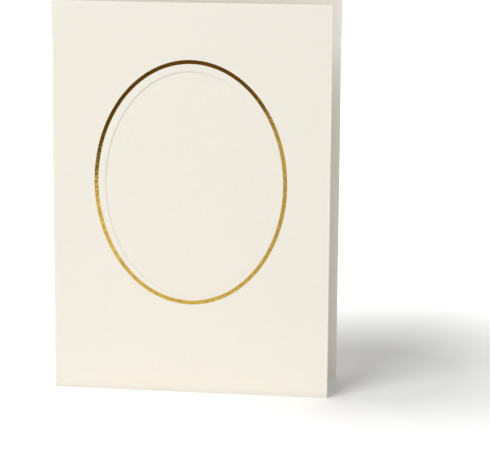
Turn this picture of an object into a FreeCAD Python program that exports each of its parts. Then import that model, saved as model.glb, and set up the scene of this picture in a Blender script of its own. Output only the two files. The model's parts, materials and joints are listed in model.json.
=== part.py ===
import FreeCAD, Part
import math
import os
import Sketcher

# A greeting card folded from one sheet: a front leaf with an oval window, a flap
# folded in behind the front at its opening edge, and a back leaf on the spine fold.
# A thin band of hot-stamped foil runs round the window.
# The card stands on its bottom edges, open by a small angle. X runs from the spine to
# the opening edge, the front leaf looks towards -Y, Z is up, and the origin is the
# middle of the footprint.
# All lengths are millimetres, the opening is in degrees.

SIZES = {
    "card_height": 148,
    "front_width": 105,
    "back_overhang": 5,            # how far the back leaf is wider than the front
    "flap_gap": 3,                 # from the spine's outside to the flap's free edge
    "sheet_thickness": 0.3,
    "spine_radius": 0.8,           # outside of the fold between front and back
    "flap_clearance": 0.08,        # air between the front and the flap pressed behind it
    "opening_angle": 16,
    "window_width": 64.6,
    "window_height": 85.7,
    "window_centre_height": 79.9,
    "foil_gap_side": 2.65,         # plain card between the window and the foil
    "foil_gap_end": 1.9,
    "foil_lift": 0.8,              # the foil sits this much higher than the window
    "foil_band": 1.5,
    "foil_thickness": 0.04,
    "foil_press_depth": 0.06,      # how deep the stamping pressed the card
}

# outside of the fold between front and flap, and how deep the window is cut
FLAP_RADIUS = "sizes.sheet_thickness + sizes.flap_clearance / 2"

START, END, CENTRE = 1, 2, 3       # a sketch element's own points
X_AXIS = -1                        # a sketch's horizontal axis, whose start is its origin


def make_sheet(doc):
    sheet = doc.addObject("Spreadsheet::Sheet", "sizes")
    for row, (name, value) in enumerate(SIZES.items(), start=1):
        sheet.set(f"A{row}", name)
        sheet.set(f"B{row}", str(value))
        sheet.setAlias(f"B{row}", name)
    doc.recompute()
    return sheet


def add_sketch(body, name, plane_role, depth=None):
    """A sketch on one of the body's origin planes, sunk by the size named depth."""
    sketch = body.newObject("Sketcher::SketchObject", name)
    planes = [item for item in body.Origin.OriginFeatures if item.Role == plane_role]
    sketch.AttachmentSupport = (planes[0], [""])
    sketch.MapMode = "FlatFace"
    if depth:
        sketch.setExpression("AttachmentOffset.Base.z", f"-sizes.{depth}")
    return sketch


def bind(sketch, expression, *constraint):
    """Add a driving dimension whose value follows an expression of the sheet."""
    index = sketch.addConstraint(Sketcher.Constraint(*constraint))
    sketch.setExpression(f"Constraints[{index}]", expression)


def draw_line(sketch, start, end):
    return sketch.addGeometry(Part.LineSegment(start, end))


def draw_arc(sketch, centre, radius, start_angle, end_angle):
    circle = Part.Circle(centre, FreeCAD.Vector(0, 0, 1), radius)
    arc = Part.ArcOfCircle(circle, math.radians(start_angle), math.radians(end_angle))
    return sketch.addGeometry(arc)


def draw_folded_section(sketch, sheet):
    """The sheet seen from above, drawn as one closed outline around its folds."""
    vector = FreeCAD.Vector
    thickness = sheet.sheet_thickness
    spine = vector(sheet.spine_radius, sheet.spine_radius)
    flap_radius = thickness + sheet.flap_clearance / 2
    flap_fold = vector(sheet.front_width - flap_radius, flap_radius)
    flap_top = 2 * flap_radius
    turn = sheet.opening_angle
    along = vector(math.cos(math.radians(turn)), math.sin(math.radians(turn)))
    across = vector(-along.y, along.x)
    back_length = sheet.front_width + sheet.back_overhang - sheet.spine_radius
    back_inside = spine + across * (sheet.spine_radius - thickness)
    back_outside = spine + across * sheet.spine_radius

    front_out = draw_line(sketch, vector(spine.x, 0), vector(flap_fold.x, 0))
    flap_bend_out = draw_arc(sketch, flap_fold, flap_radius, -90, 90)
    flap_out = draw_line(sketch, vector(flap_fold.x, flap_top), vector(sheet.flap_gap, flap_top))
    flap_edge = draw_line(sketch, vector(sheet.flap_gap, flap_top),
                          vector(sheet.flap_gap, flap_top - thickness))
    flap_in = draw_line(sketch, vector(sheet.flap_gap, flap_top - thickness),
                        vector(flap_fold.x, flap_top - thickness))
    flap_bend_in = draw_arc(sketch, flap_fold, flap_radius - thickness, -90, 90)
    front_in = draw_line(sketch, vector(flap_fold.x, thickness), vector(spine.x, thickness))
    spine_in = draw_arc(sketch, spine, sheet.spine_radius - thickness, 90 + turn, 270)
    back_in = draw_line(sketch, back_inside, back_inside + along * back_length)
    back_edge = draw_line(sketch, back_inside + along * back_length,
                          back_outside + along * back_length)
    back_out = draw_line(sketch, back_outside + along * back_length, back_outside)
    spine_out = draw_arc(sketch, spine, sheet.spine_radius, 90 + turn, 270)

    smooth_joints = [
        (spine_out, END, front_out, START),
        (front_out, END, flap_bend_out, START),
        (flap_bend_out, END, flap_out, START),
        (flap_in, END, flap_bend_in, END),
        (flap_bend_in, START, front_in, START),
        (front_in, END, spine_in, END),
        (spine_in, START, back_in, START),
        (back_out, END, spine_out, START),
    ]
    corners = [
        (flap_out, END, flap_edge, START),
        (flap_edge, END, flap_in, START),
        (back_in, END, back_edge, START),
        (back_edge, END, back_out, START),
        (flap_bend_out, CENTRE, flap_bend_in, CENTRE),
        (spine_out, CENTRE, spine_in, CENTRE),
    ]
    for joint in smooth_joints:
        sketch.addConstraint(Sketcher.Constraint("Tangent", *joint))
    for joint in corners:
        sketch.addConstraint(Sketcher.Constraint("Coincident", *joint))
    for line in (front_out, front_in, flap_out, flap_in):
        sketch.addConstraint(Sketcher.Constraint("Horizontal", line))
    sketch.addConstraint(Sketcher.Constraint("PointOnObject", front_out, START, X_AXIS))
    sketch.addConstraint(Sketcher.Constraint("Vertical", flap_edge))
    sketch.addConstraint(Sketcher.Constraint("Perpendicular", back_edge, back_in))
    sketch.addConstraint(Sketcher.Constraint("Perpendicular", back_edge, back_out))

    bind(sketch, "sizes.spine_radius", "Radius", spine_out, sheet.spine_radius)
    bind(sketch, "sizes.spine_radius", "DistanceX", X_AXIS, START, spine_out, CENTRE, spine.x)
    bind(sketch, FLAP_RADIUS, "Radius", flap_bend_out, flap_radius)
    bind(sketch, f"sizes.front_width - ({FLAP_RADIUS})",
         "DistanceX", X_AXIS, START, flap_bend_out, CENTRE, flap_fold.x)
    bind(sketch, "sizes.flap_gap", "DistanceX", X_AXIS, START, flap_out, END, sheet.flap_gap)
    bind(sketch, "sizes.sheet_thickness", "Distance", flap_edge, thickness)
    bind(sketch, "sizes.front_width + sizes.back_overhang - sizes.spine_radius",
         "Distance", back_out, back_length)
    bind(sketch, "sizes.opening_angle", "Angle", back_in, math.radians(turn))


def draw_oval(sketch, sheet, wider="", taller="", higher=""):
    """The window's upright oval, or a larger one whose extra size the expressions give."""
    middle = FreeCAD.Vector(sheet.front_width / 2, sheet.window_centre_height)
    top = middle + FreeCAD.Vector(0, sheet.window_height / 2)
    side = middle + FreeCAD.Vector(sheet.window_width / 2, 0)
    oval = sketch.addGeometry(Part.Ellipse(top, side, middle))
    sketch.exposeInternalGeometry(oval)
    long_axis, short_axis = oval + 1, oval + 2
    sketch.addConstraint(Sketcher.Constraint("Vertical", long_axis))
    bind(sketch, "sizes.front_width / 2", "DistanceX", X_AXIS, START, oval, CENTRE, middle.x)
    bind(sketch, "sizes.window_centre_height" + higher,
         "DistanceY", X_AXIS, START, oval, CENTRE, middle.y)
    bind(sketch, "sizes.window_height" + taller, "Distance", long_axis, sheet.window_height)
    bind(sketch, "sizes.window_width" + wider, "Distance", short_axis, sheet.window_width)


def draw_foil_band(sketch, sheet):
    """The two ovals that bound the foil, which is printed a little high of the window."""
    inner_wider = " + 2 * sizes.foil_gap_side"
    inner_taller = " + 2 * sizes.foil_gap_end"
    band = " + 2 * sizes.foil_band"
    lift = " + sizes.foil_lift"
    draw_oval(sketch, sheet, inner_wider, inner_taller, lift)
    draw_oval(sketch, sheet, inner_wider + band, inner_taller + band, lift)


def add_pocket(body, name, sketch, depth):
    pocket = body.newObject("PartDesign::Pocket", name)
    pocket.Profile = sketch
    pocket.setExpression("Length", depth)
    sketch.Visibility = False
    return pocket


def make_card(doc, sheet):
    """One folded sheet. Its front leaf's outer face lies on the body's XZ plane."""
    body = doc.addObject("PartDesign::Body", "card")
    body.Label = "folded_card"
    section = add_sketch(body, "folded_section", "XY_Plane")
    draw_folded_section(section, sheet)
    leaves = body.newObject("PartDesign::Pad", "leaves")
    leaves.Profile = section
    leaves.setExpression("Length", "sizes.card_height")

    window = add_sketch(body, "window_outline", "XZ_Plane")
    draw_oval(window, sheet)
    # the cutter stops in the air between the front and the flap
    add_pocket(body, "window", window, FLAP_RADIUS)

    pressed = add_sketch(body, "pressed_outline", "XZ_Plane")
    draw_foil_band(pressed, sheet)
    add_pocket(body, "foil_bed", pressed, "sizes.foil_press_depth")
    return body


def make_foil(doc, sheet):
    """The foil lies on the bottom of its pressed bed in the front leaf."""
    body = doc.addObject("PartDesign::Body", "foil")
    body.Label = "foil_ring"
    outline = add_sketch(body, "foil_outline", "XZ_Plane", depth="foil_press_depth")
    draw_foil_band(outline, sheet)
    band = body.newObject("PartDesign::Pad", "foil_band")
    band.Profile = outline
    band.setExpression("Length", "sizes.foil_thickness")
    return body


def stand_card(sheet, card, foil):
    """Turn the leaves evenly about the X axis and centre the footprint on the origin."""
    for body in (card, foil):
        body.Placement.Rotation = FreeCAD.Rotation(FreeCAD.Vector(0, 0, 1), 0)
        body.setExpression("Placement.Rotation.Angle", "-sizes.opening_angle / 2")
    card.Document.recompute()
    box = card.Shape.optimalBoundingBox()
    for body in (card, foil):
        body.Placement.Base = FreeCAD.Vector(-box.Center.x, -box.Center.y, -box.ZMin)
    card.Document.recompute()


def check_objects(doc, pieces):
    for item in doc.Objects:
        if {"Invalid", "Error"} & set(item.State):
            raise RuntimeError(f"{item.Label} failed: {item.State}")
    for piece in pieces:
        shape = piece.Shape
        if shape.isNull() or not shape.isValid() or len(shape.Solids) != 1:
            raise RuntimeError(f"{piece.Label} is not one valid solid")
        print(piece.Label, "volume", round(shape.Volume, 2), "mm3")


def write_steps(pieces):
    os.makedirs("parts", exist_ok=True)
    for piece in pieces:
        piece.Shape.exportStep(f"parts/{piece.Label}.step")


doc = FreeCAD.newDocument("greeting_card")
sheet = make_sheet(doc)
card = make_card(doc, sheet)
foil = make_foil(doc, sheet)
doc.recompute()
stand_card(sheet, card, foil)
check_objects(doc, [card, foil])
write_steps([card, foil])
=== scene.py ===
# A window card of ivory card stock with a foil line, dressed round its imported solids
import json
import math

import bpy
from mathutils import Matrix, Vector


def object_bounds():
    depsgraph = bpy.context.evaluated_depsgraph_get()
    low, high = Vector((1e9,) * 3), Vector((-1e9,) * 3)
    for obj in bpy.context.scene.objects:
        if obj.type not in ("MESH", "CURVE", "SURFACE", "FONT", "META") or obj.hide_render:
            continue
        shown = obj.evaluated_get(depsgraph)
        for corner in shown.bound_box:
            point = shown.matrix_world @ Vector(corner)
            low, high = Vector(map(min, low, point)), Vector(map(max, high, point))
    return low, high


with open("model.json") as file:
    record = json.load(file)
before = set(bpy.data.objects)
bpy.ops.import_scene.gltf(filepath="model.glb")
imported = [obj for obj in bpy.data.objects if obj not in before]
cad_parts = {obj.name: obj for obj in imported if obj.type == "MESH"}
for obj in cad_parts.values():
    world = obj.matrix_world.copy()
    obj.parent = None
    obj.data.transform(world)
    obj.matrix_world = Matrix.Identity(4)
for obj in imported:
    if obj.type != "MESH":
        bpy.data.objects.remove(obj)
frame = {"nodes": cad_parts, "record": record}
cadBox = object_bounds()
cardMiddle = (cadBox[0] + cadBox[1]) / 2
mm = 0.001
print("loaded", sorted(frame["nodes"]))


def linearColour(hexText):
    # an sRGB hex colour as the linear RGBA that the nodes take
    channels = [int(hexText[start:start + 2], 16) / 255 for start in (0, 2, 4)]
    linear = [c / 12.92 if c <= 0.04045 else ((c + 0.055) / 1.055) ** 2.4 for c in channels]
    return (*linear, 1.0)


def addNode(tree, kind, settings, inputs):
    # an input takes a plain value, or the output of another node, which is then linked
    node = tree.nodes.new("ShaderNode" + kind)
    for name, value in settings.items():
        setattr(node, name, value)
    for name, value in inputs.items():
        if isinstance(value, bpy.types.NodeSocket):
            tree.links.new(value, node.inputs[name])
        else:
            node.inputs[name].default_value = value
    return node


def newMaterial(name):
    material = bpy.data.materials.new(name)
    material.use_nodes = True
    material.node_tree.nodes.clear()
    return material, material.node_tree


# The window's mount gives the front leaf's place and turn
windowMount = next(m for m in frame["record"]["mounts"] if m["name"] == "picture_window")
windowCentre = Vector(windowMount["pos_m"])
frontAhead = Vector(windowMount["axis"])
frontTurn = math.atan2(windowMount["axis"][0], -windowMount["axis"][1])


cardLook = {
    "faceColour": "F1ECE2",      # ivory, dyed through
    "cloudColour": "EFEADF",     # the same where the pulp lies thicker
    "fibreColour": "F6F2EA",
    "coreColour": "F7F3EB",      # cut faces, edges worn by rubbing, and the painted highlight along the top cut
    "roughness": (0.78, 0.92),
    "ior": 1.5,
    "cloudSize": 5.0,            # mm, look-through of the pulp
    "fibreWidth": 0.25,          # mm, real fibres are 0.03 mm wide and would not show
    "fibreLength": 2.0,          # mm, fibres lie mostly upright, along the spine
    "fibreNoise": (0.5, 0.75),   # the noise at which a fibre starts to show and shows most
    "fibreShare": 0.5,           # of the fibre's own colour, where it shows most
    "toothSize": 0.4,            # mm, the felt's mark, real 0.1 to 0.2 mm
    "toothDepth": 0.009,         # mm
    "thickness": 0.3,            # mm
    "windowWidth": 64.6,         # mm
    "windowHeight": 85.7,        # mm
    "frontWidth": 105.0,         # mm
    "frontReach": 0.25,          # mm from mid-sheet, keeps rim and lip off the back leaf
    "cutFacing": 0.5,            # a face that looks up or down more than this is a cut end
    "rimReach": 0.08,            # mm either side of the window's outline, pale as the core
    "lipWidth": 2.2,             # mm, the card rises to the cut window over this width
    "lipHeight": 0.13,           # mm
    "rubAndHighlightWidth": 0.5,             # mm, paler along the top and bottom cuts, from rubbing; along the top also a painted highlight of the lit cut edge
    "rubAndHighlightShare": 0.8,             # of the core's colour, right at the cut
    "foldWidth": 1.6,            # mm, stretched fibres along the folds
    "spineShare": 0.15,          # of the core's colour, on the spine fold
    "flapShare": 0.5,            # of the core's colour, on the flap's fold
}


def windowEdgeDistance(tree, sheet, look):
    # millimetres outward from the window's oval edge, good close to the edge
    halfWidth = look["windowWidth"] / 2
    halfHeight = look["windowHeight"] / 2
    rounded = addNode(tree, "VectorMath", {"operation": "MULTIPLY"}, {
        0: sheet, 1: (1 / halfWidth, 0, 1 / halfHeight)})
    steepened = addNode(tree, "VectorMath", {"operation": "MULTIPLY"}, {
        0: sheet, 1: (1 / halfWidth ** 2, 0, 1 / halfHeight ** 2)})
    radius = addNode(tree, "VectorMath", {"operation": "LENGTH"}, {0: rounded.outputs[0]})
    slope = addNode(tree, "VectorMath", {"operation": "LENGTH"}, {0: steepened.outputs[0]})
    beyond = addNode(tree, "Math", {"operation": "SUBTRACT"}, {0: radius.outputs["Value"], 1: 1.0})
    scaled = addNode(tree, "Math", {"operation": "MULTIPLY"}, {
        0: beyond.outputs[0], 1: radius.outputs["Value"]})
    distance = addNode(tree, "Math", {"operation": "DIVIDE"}, {
        0: scaled.outputs[0], 1: slope.outputs["Value"]})
    return distance.outputs[0]


def paleMask(tree, spot, onLeaf, edgeDistance, inFront, look):
    # 1 where the sheet is cut: top and bottom, and the rim of the window
    facing = addNode(tree, "SeparateXYZ", {}, {0: spot.outputs["Normal"]})
    upright = addNode(tree, "Math", {"operation": "ABSOLUTE"}, {0: facing.outputs["Z"]})
    cutEnds = addNode(tree, "Math", {"operation": "GREATER_THAN"}, {
        0: upright.outputs[0], 1: look["cutFacing"]})
    onRim = addNode(tree, "Math", {"operation": "COMPARE"}, {
        0: edgeDistance, 1: 0.0, 2: look["rimReach"]})
    cutRim = addNode(tree, "Math", {"operation": "MULTIPLY"}, {0: onRim.outputs[0], 1: inFront})

    # less in the bands beside the cuts, worn by rubbing and along the top a painted highlight, and
    # the stretched fibres along the folds
    inPart = addNode(tree, "SeparateXYZ", {}, {0: spot.outputs["Object"]})
    fromMiddle = addNode(tree, "Math", {"operation": "SUBTRACT"}, {
        0: inPart.outputs["Z"], 1: cardMiddle.z})
    offMiddle = addNode(tree, "Math", {"operation": "ABSOLUTE"}, {0: fromMiddle.outputs[0]})
    # paler bands at the top and bottom cuts: rubbing, and along the top a painted highlight
    rubbedAndHighlit = addNode(tree, "MapRange", {}, {
        "Value": offMiddle.outputs[0], "From Min": cardMiddle.z - look["rubAndHighlightWidth"] * mm,
        "From Max": cardMiddle.z, "To Min": 0.0, "To Max": look["rubAndHighlightShare"]})
    spineFold = addNode(tree, "MapRange", {"interpolation_type": "SMOOTHSTEP"}, {
        "Value": inPart.outputs["X"], "From Min": cadBox[0].x,
        "From Max": cadBox[0].x + look["foldWidth"] * mm,
        "To Min": look["spineShare"], "To Max": 0.0})
    flapFold = addNode(tree, "MapRange", {"interpolation_type": "SMOOTHSTEP"}, {
        "Value": onLeaf.outputs["X"], "From Min": look["frontWidth"] / 2 - look["foldWidth"],
        "From Max": look["frontWidth"] / 2, "To Min": 0.0, "To Max": look["flapShare"]})

    pale = cutEnds.outputs[0]
    for mask in (cutRim, rubbedAndHighlit, spineFold, flapFold):
        pale = addNode(tree, "Math", {"operation": "MAXIMUM"}, {
            0: pale, 1: mask.outputs[0]}).outputs[0]
    return pale


def pulpColour(tree, sheet, fibre, pale, look):
    # clouds of pulp, then the fibres over them, then the core where the sheet is pale
    cloud = addNode(tree, "TexNoise", {}, {
        "Vector": sheet, "Scale": 1 / look["cloudSize"], "Detail": 3.0, "Roughness": 0.55})
    pulp = addNode(tree, "MixRGB", {}, {
        "Fac": cloud.outputs["Fac"], "Color1": linearColour(look["faceColour"]),
        "Color2": linearColour(look["cloudColour"])})
    fibreShare = addNode(tree, "MapRange", {}, {
        "Value": fibre.outputs["Fac"], "From Min": look["fibreNoise"][0],
        "From Max": look["fibreNoise"][1], "To Min": 0.0, "To Max": look["fibreShare"]})
    fibres = addNode(tree, "MixRGB", {}, {
        "Fac": fibreShare.outputs[0], "Color1": pulp.outputs[0],
        "Color2": linearColour(look["fibreColour"])})
    colour = addNode(tree, "MixRGB", {}, {
        "Fac": pale, "Color1": fibres.outputs[0], "Color2": linearColour(look["coreColour"])})
    return colour.outputs[0]


def cardRelief(tree, edgeDistance, inFront, tooth, fibre, look):
    # the rise to the window, with the tooth and the fibres on it
    lip = addNode(tree, "MapRange", {"interpolation_type": "SMOOTHSTEP"}, {
        "Value": edgeDistance, "From Min": 0.0, "From Max": look["lipWidth"],
        "To Min": 1.0, "To Max": 0.0})
    lipInFront = addNode(tree, "Math", {"operation": "MULTIPLY"}, {
        0: lip.outputs[0], 1: inFront})
    lipBump = addNode(tree, "Bump", {}, {
        "Height": lipInFront.outputs[0], "Distance": look["lipHeight"] * mm})
    toothBump = addNode(tree, "Bump", {}, {
        "Height": tooth.outputs["Fac"], "Distance": look["toothDepth"] * mm,
        "Normal": lipBump.outputs[0]})
    fibreBump = addNode(tree, "Bump", {}, {
        "Height": fibre.outputs["Fac"], "Distance": look["toothDepth"] * mm,
        "Normal": toothBump.outputs[0]})
    return fibreBump.outputs[0]


def cardStock(look):
    # Uncoated card, calendered between felt rolls: matt and even, with soft clouds of
    # pulp, fine upright fibres and a faint tooth that breaks up the light
    material, tree = newMaterial("ivoryCardStockFelted")
    spot = addNode(tree, "TexCoord", {}, {})
    # millimetres from the window's middle: X along the front leaf, Y into it, Z up
    mapping = addNode(tree, "Mapping", {"vector_type": "TEXTURE"}, {
        "Vector": spot.outputs["Object"], "Location": windowCentre,
        "Rotation": (0, 0, frontTurn), "Scale": (mm, mm, mm)})
    sheet = mapping.outputs["Vector"]
    onLeaf = addNode(tree, "SeparateXYZ", {}, {0: sheet})
    edgeDistance = windowEdgeDistance(tree, sheet, look)
    inFront = addNode(tree, "Math", {"operation": "COMPARE"}, {
        0: onLeaf.outputs["Y"], 1: look["thickness"] / 2, 2: look["frontReach"]}).outputs[0]

    stretched = addNode(tree, "VectorMath", {"operation": "MULTIPLY"}, {
        0: sheet, 1: (1, 1, look["fibreWidth"] / look["fibreLength"])})
    fibre = addNode(tree, "TexNoise", {}, {
        "Vector": stretched.outputs[0], "Scale": 1 / look["fibreWidth"],
        "Detail": 2.0, "Distortion": 0.6})
    tooth = addNode(tree, "TexNoise", {}, {
        "Vector": sheet, "Scale": 1 / look["toothSize"], "Detail": 3.0})

    pale = paleMask(tree, spot, onLeaf, edgeDistance, inFront, look)
    roughness = addNode(tree, "MapRange", {}, {
        "Value": tooth.outputs["Fac"], "To Min": look["roughness"][0],
        "To Max": look["roughness"][1]})
    shader = addNode(tree, "BsdfPrincipled", {}, {
        "Base Color": pulpColour(tree, sheet, fibre, pale, look),
        "Roughness": roughness.outputs[0], "IOR": look["ior"],
        "Normal": cardRelief(tree, edgeDistance, inFront, tooth, fibre, look)})
    addNode(tree, "OutputMaterial", {}, {"Surface": shader.outputs[0]})
    return material


foilLook = {
    "colour": "DFBB5D",          # yellow lacquer over aluminium film
    "thickColour": "CBA544",     # where the lacquer lies thicker
    "thickNoise": (0.35, 0.65),  # the noise from thin to thick lacquer
    "roughness": (0.05, 0.11),
    "roughNoise": (0.3, 0.7),    # the noise from the smoothest to the roughest foil
    "mottleSize": 1.6,           # mm, the card's tooth through the film, drawn coarse to show
    "mottleDepth": 0.03,         # mm
    "grainSize": 0.35,           # mm, faint unevenness of the lacquer, drawn coarse as well
    "grainDepth": 0.0006,        # mm
}


def hotStampedFoil(look):
    # Metallised film, stamped hot into card: a bright mirror, but it takes the tooth of
    # the card under it, so what it mirrors breaks up into small flecks
    material, tree = newMaterial("hotStampedGoldFoil")
    spot = addNode(tree, "TexCoord", {}, {})
    inMm = addNode(tree, "Mapping", {"vector_type": "TEXTURE"}, {
        "Vector": spot.outputs["Object"], "Scale": (mm, mm, mm)})
    mottle = addNode(tree, "TexNoise", {}, {
        "Vector": inMm.outputs[0], "Scale": 1 / look["mottleSize"], "Detail": 2.0})
    grain = addNode(tree, "TexNoise", {}, {
        "Vector": inMm.outputs[0], "Scale": 1 / look["grainSize"], "Detail": 2.0})
    thick = addNode(tree, "MapRange", {}, {
        "Value": mottle.outputs["Fac"], "From Min": look["thickNoise"][0],
        "From Max": look["thickNoise"][1]})
    colour = addNode(tree, "MixRGB", {}, {
        "Fac": thick.outputs[0], "Color1": linearColour(look["colour"]),
        "Color2": linearColour(look["thickColour"])})
    roughness = addNode(tree, "MapRange", {}, {
        "Value": grain.outputs["Fac"], "From Min": look["roughNoise"][0],
        "From Max": look["roughNoise"][1], "To Min": look["roughness"][0],
        "To Max": look["roughness"][1]})
    mottleBump = addNode(tree, "Bump", {}, {
        "Height": mottle.outputs["Fac"], "Distance": look["mottleDepth"] * mm})
    grainBump = addNode(tree, "Bump", {}, {
        "Height": grain.outputs["Fac"], "Distance": look["grainDepth"] * mm,
        "Normal": mottleBump.outputs[0]})
    shader = addNode(tree, "BsdfPrincipled", {}, {
        "Base Color": colour.outputs[0], "Metallic": 1.0, "Roughness": roughness.outputs[0],
        "Normal": grainBump.outputs[0]})
    addNode(tree, "OutputMaterial", {}, {"Surface": shader.outputs[0]})
    return material


frame["nodes"]["folded_card"].material_slots[0].material = cardStock(cardLook)
frame["nodes"]["foil_ring"].material_slots[0].material = hotStampedFoil(foilLook)
print("card and foil dressed")


def layPlate(name, lowX, reach, material):
    # a flat plate from lowX to reach along X, and reach to each side of it
    corners = [(lowX, -reach, 0), (reach, -reach, 0), (reach, reach, 0), (lowX, reach, 0)]
    mesh = bpy.data.meshes.new(name)
    mesh.from_pydata(corners, [], [(0, 1, 2, 3)])
    mesh.materials.append(material)
    plate = bpy.data.objects.new(name, mesh)
    bpy.context.scene.collection.objects.link(plate)
    return plate


def seenWhite(tree, mirrored):
    # 1 for the rays of the eye and of glass, which see a white room, and for the rays of
    # mirrors the share that is given as mirrored
    path = addNode(tree, "LightPath", {}, {})
    mirrors = addNode(tree, "Math", {"operation": "MULTIPLY"}, {
        0: path.outputs["Is Glossy Ray"], 1: mirrored})
    direct = addNode(tree, "Math", {"operation": "MAXIMUM"}, {
        0: path.outputs["Is Camera Ray"], 1: path.outputs["Is Transmission Ray"]})
    seen = addNode(tree, "Math", {"operation": "MAXIMUM"}, {
        0: direct.outputs[0], 1: mirrors.outputs[0]})
    return seen.outputs[0]


floorLook = {
    "colour": "FAFAF8",
    "shadow": (68, 22),          # mm, the middle of the shadow, where no painted glow is added
    "liftFrom": 35,              # mm from there, where the painted glow starts to grow
    "liftTo": 170,               # mm from there, where it is all added
    "lift": 0.65,                # the painted glow added for the eye, which whitens the floor and fades the shadow
    "mirrored": 0.1,             # share of it that mirrors see, so that the foil doesn't glare
    "reach": 8000,               # mm each way
}


def layFloor(look):
    # White seamless paper, dull, with a painted glow that only the eye and a little the mirrors
    # see; it grows away from the shadow's middle, so the floor shows white and the shadow fades
    # out
    material, tree = newMaterial("whiteSeamlessPaperPaintedGlow")
    spot = addNode(tree, "TexCoord", {}, {})
    shadow = (look["shadow"][0] * mm, look["shadow"][1] * mm, 0)
    away = addNode(tree, "VectorMath", {"operation": "DISTANCE"}, {
        0: spot.outputs["Object"], 1: shadow})
    grown = addNode(tree, "MapRange", {}, {
        "Value": away.outputs["Value"], "From Min": look["liftFrom"] * mm,
        "From Max": look["liftTo"] * mm, "To Min": 0.0, "To Max": look["lift"]})
    lift = addNode(tree, "Math", {"operation": "MULTIPLY"}, {
        0: seenWhite(tree, look["mirrored"]), 1: grown.outputs[0]})
    paper = addNode(tree, "BsdfDiffuse", {}, {"Color": linearColour(look["colour"])})
    # the painted glow: an emission on the floor, not a lamp
    glow = addNode(tree, "Emission", {}, {"Strength": lift.outputs[0]})
    both = addNode(tree, "AddShader", {}, {0: paper.outputs[0], 1: glow.outputs[0]})
    addNode(tree, "OutputMaterial", {}, {"Surface": both.outputs[0]})
    reach = look["reach"] * mm
    layPlate("floor", -reach, reach, material)


darkEndLook = {
    "heading": 185.0,            # degrees, counted from +X, the way to the dark end
    "start": 221,                # mm from the card, where the light on the floor ends
    "soft": 62,                  # mm, over which the floor falls dark
    "above": 2,                  # mm over the floor
    "reach": 3000,               # mm
    "shade": "6C572F",           # a warm brown
}

dimSideLook = {
    "heading": 330.0,            # degrees, counted from +X, the way to the dimmer floor
    "start": 30,                 # mm from the card, where the floor starts to dim
    "soft": 110,                 # mm, over which it dims
    "above": 1,                  # mm over the floor
    "reach": 3000,               # mm
    "shade": "DADADA",           # a light grey
}


def layMirrored(name, look):
    # A part of the studio's floor that is less lit, which only the foil mirrors
    material, tree = newMaterial(name + "Floor")
    spot = addNode(tree, "TexCoord", {}, {})
    inward = addNode(tree, "SeparateXYZ", {}, {0: spot.outputs["Object"]})
    fade = addNode(tree, "MapRange", {"interpolation_type": "SMOOTHSTEP"}, {
        "Value": inward.outputs["X"], "From Min": 0.0, "From Max": look["soft"] * mm})
    clear = addNode(tree, "BsdfTransparent", {}, {})
    dim = addNode(tree, "Emission", {}, {"Color": linearColour(look["shade"])})
    mixed = addNode(tree, "MixShader", {}, {
        0: fade.outputs[0], 1: clear.outputs[0], 2: dim.outputs[0]})
    addNode(tree, "OutputMaterial", {}, {"Surface": mixed.outputs[0]})
    plate = layPlate(name, 0, look["reach"] * mm, material)
    heading = math.radians(look["heading"])
    start = look["start"] * mm
    plate.location = (math.cos(heading) * start, math.sin(heading) * start, look["above"] * mm)
    plate.rotation_euler.z = heading
    plate.visible_camera = False
    plate.visible_diffuse = False
    plate.visible_shadow = False


layFloor(floorLook)
layMirrored("darkEnd", darkEndLook)
layMirrored("dimSide", dimSideLook)
print("floor laid")

worldLook = {
    "fill": 0.40,                # the room's even light on the card
    "white": 1.0,                # what the eye and mirrors see
}


def lightWorld(look):
    world = bpy.data.worlds.new("studio")
    world.use_nodes = True
    tree = world.node_tree
    tree.nodes.clear()
    strength = addNode(tree, "MapRange", {}, {
        "Value": seenWhite(tree, 1.0), "To Min": look["fill"], "To Max": look["white"]})
    sky = addNode(tree, "Background", {}, {
        "Color": (1, 1, 1, 1), "Strength": strength.outputs[0]})
    addNode(tree, "OutputWorld", {}, {"Surface": sky.outputs[0]})
    bpy.context.scene.world = world


keyLook = {
    "heading": 231.0,            # degrees, counted from +X, where the lamp stands
    "height": 41.5,              # degrees above the card's middle
    "distance": 1300,            # mm
    "side": 640,                 # mm, a large soft box
    "watts": 8.88,
}

fillLook = {
    "heading": 340.0,            # degrees, right of the card, for the back leaf's strip
    "height": 25.0,              # degrees
    "distance": 2400,            # mm
    "side": 1800,                # mm
    "watts": 8.8,
}

rimLook = {
    "heading": 95.0,             # degrees, behind the card, for its back leaf
    "height": 4.0,               # degrees, low enough to leave the shadow dark
    "distance": 1500,            # mm
    "side": 300,                 # mm
    "watts": 6.6,
}

bounceLook = {
    "aside": 25,                 # mm, its middle is right of the window's
    "gap": 1,                    # mm, from the front leaf's foot to the board
    "wide": 290,                 # mm
    "deep": 160,                 # mm
    "above": 1,                  # mm over the floor
    "watts": 0.0295,
    "colour": "FFF3DC",
}


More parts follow.
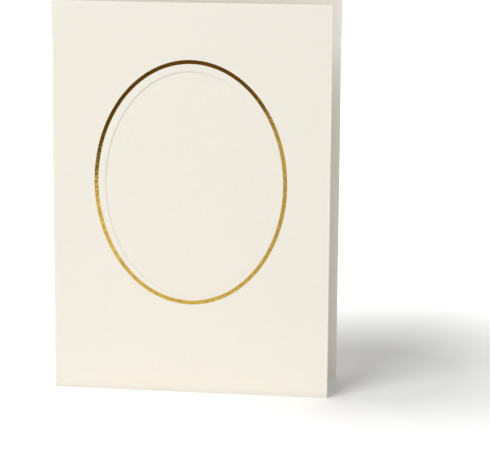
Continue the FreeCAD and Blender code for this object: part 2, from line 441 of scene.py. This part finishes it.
def newLamp(name, shape, width, watts):
    # an area lamp that neither the eye nor the foil sees
    lampData = bpy.data.lights.new(name, "AREA")
    lampData.shape = shape
    lampData.size = width * mm
    lampData.energy = watts
    lamp = bpy.data.objects.new(name, lampData)
    lamp.visible_camera = False
    lamp.visible_glossy = False
    bpy.context.scene.collection.objects.link(lamp)
    return lamp


def placeSoftbox(name, look):
    lamp = newLamp(name, "SQUARE", look["side"], look["watts"])
    heading = math.radians(look["heading"])
    height = math.radians(look["height"])
    away = Vector((math.cos(heading) * math.cos(height), math.sin(heading) * math.cos(height),
                   math.sin(height)))
    lamp.location = cardMiddle + away * look["distance"] * mm
    lamp.rotation_euler = away.to_track_quat("Z", "Y").to_euler()


def layBounce(look):
    # the light that a board lying in front of the front leaf throws back up at it
    lamp = newLamp("bounce", "RECTANGLE", look["wide"], look["watts"])
    lamp.data.size_y = look["deep"] * mm
    lamp.data.color = linearColour(look["colour"])[:3]
    along = Vector((-frontAhead.y, frontAhead.x, 0))
    foot = Vector((windowCentre.x, windowCentre.y, look["above"] * mm))
    lamp.location = (foot + along * look["aside"] * mm
                     + frontAhead * (look["gap"] + look["deep"] / 2) * mm)
    lamp.rotation_euler = (math.pi, 0, frontTurn)


lightWorld(worldLook)
placeSoftbox("key_softbox", keyLook)
placeSoftbox("fill_softbox", fillLook)
placeSoftbox("rim_softbox", rimLook)
layBounce(bounceLook)
print("lights placed")

cameraLook = {
    "place": (13.8, -723.3, 199.6),   # mm
    "turn": -0.34,               # degrees to the left of +Y
    "down": 10.83,               # degrees
    "roll": 0.43,                # degrees
    "sensor": 36.0,              # mm wide
    "lens": 142.5,               # mm
}


def placeCamera(look):
    cameraData = bpy.data.cameras.new("camera")
    cameraData.sensor_width = look["sensor"]
    cameraData.lens = look["lens"]
    camera = bpy.data.objects.new("camera", cameraData)
    bpy.context.scene.collection.objects.link(camera)
    camera.matrix_world = (
        Matrix.Translation(Vector(look["place"]) * mm)
        @ Matrix.Rotation(math.radians(look["turn"]), 4, "Z")
        @ Matrix.Rotation(math.radians(90 - look["down"]), 4, "X")
        @ Matrix.Rotation(math.radians(look["roll"]), 4, "Z"))
    bpy.context.scene.camera = camera


placeCamera(cameraLook)
bpy.context.scene.view_settings.view_transform = "Standard"
print("camera placed")
